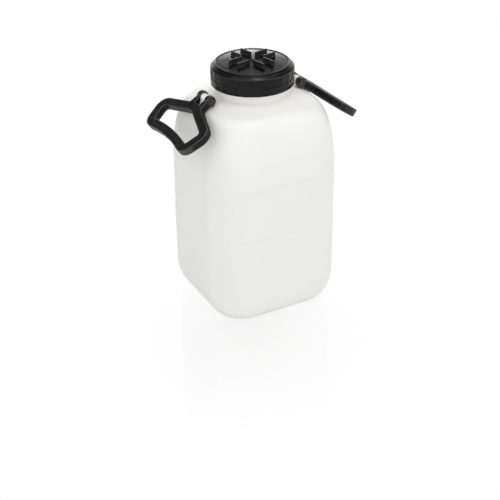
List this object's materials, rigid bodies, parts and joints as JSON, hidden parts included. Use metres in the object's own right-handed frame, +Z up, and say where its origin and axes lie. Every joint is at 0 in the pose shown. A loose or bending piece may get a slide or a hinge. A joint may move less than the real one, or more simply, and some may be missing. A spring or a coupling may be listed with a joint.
{
  "type": "wide-neck plastic drum",
  "caption": "Square wide-neck plastic drum with a ribbed screw cap and swing handles, for dosing or storing liquid and powder.",
  "frame": {"origin": "centre of the base", "axes": "+Z up along the neck, the handles on -X and +X with their hinge axes along Y"},
  "size_m": [0.3494, 0.25, 0.4628],
  "materials": {
    "natural_hdpe": "satin, slightly translucent natural white",
    "black_cap": "semi-gloss moulded black",
    "black_handle": "semi-gloss moulded black",
    "seal": "matt soft ring",
    "pin": "satin dark grey"
  },
  "bodies": {
    "drum": {"body": "natural_hdpe", "left_hinge_pin": "pin", "right_hinge_pin": "pin", "left_pin_cap": "pin", "right_pin_cap": "pin"},
    "seal": {"cap_seal": "seal"},
    "cap": {"screw_cap": "black_cap"},
    "left_grip": {"left_handle": "black_handle"},
    "right_grip": {"right_handle": "black_handle"}
  },
  "joints": [
    {"name": "cap_rise", "type": "slide", "parent": "drum", "child": "seal", "axis": [0, 0, 1], "range_m": [0, 0.048]},
    {"name": "cap_turn", "type": "hinge", "parent": "seal", "child": "cap", "pos_m": [0, 0, 0.43], "axis": [0, 0, 1], "range_deg": [0, 1440]},
    {"name": "left_swing", "type": "hinge", "parent": "drum", "child": "left_grip", "pos_m": [-0.089, 0, 0.4032], "axis": [0, 1, 0], "range_deg": [0, 125]},
    {"name": "right_swing", "type": "hinge", "parent": "drum", "child": "right_grip", "pos_m": [0.089, 0, 0.4032], "axis": [0, -1, 0], "range_deg": [0, 125]}
  ],
  "couplings": [
    {"joint": "cap_rise", "follows": "cap_turn", "m_per_rad": 0.0019099}
  ]
}
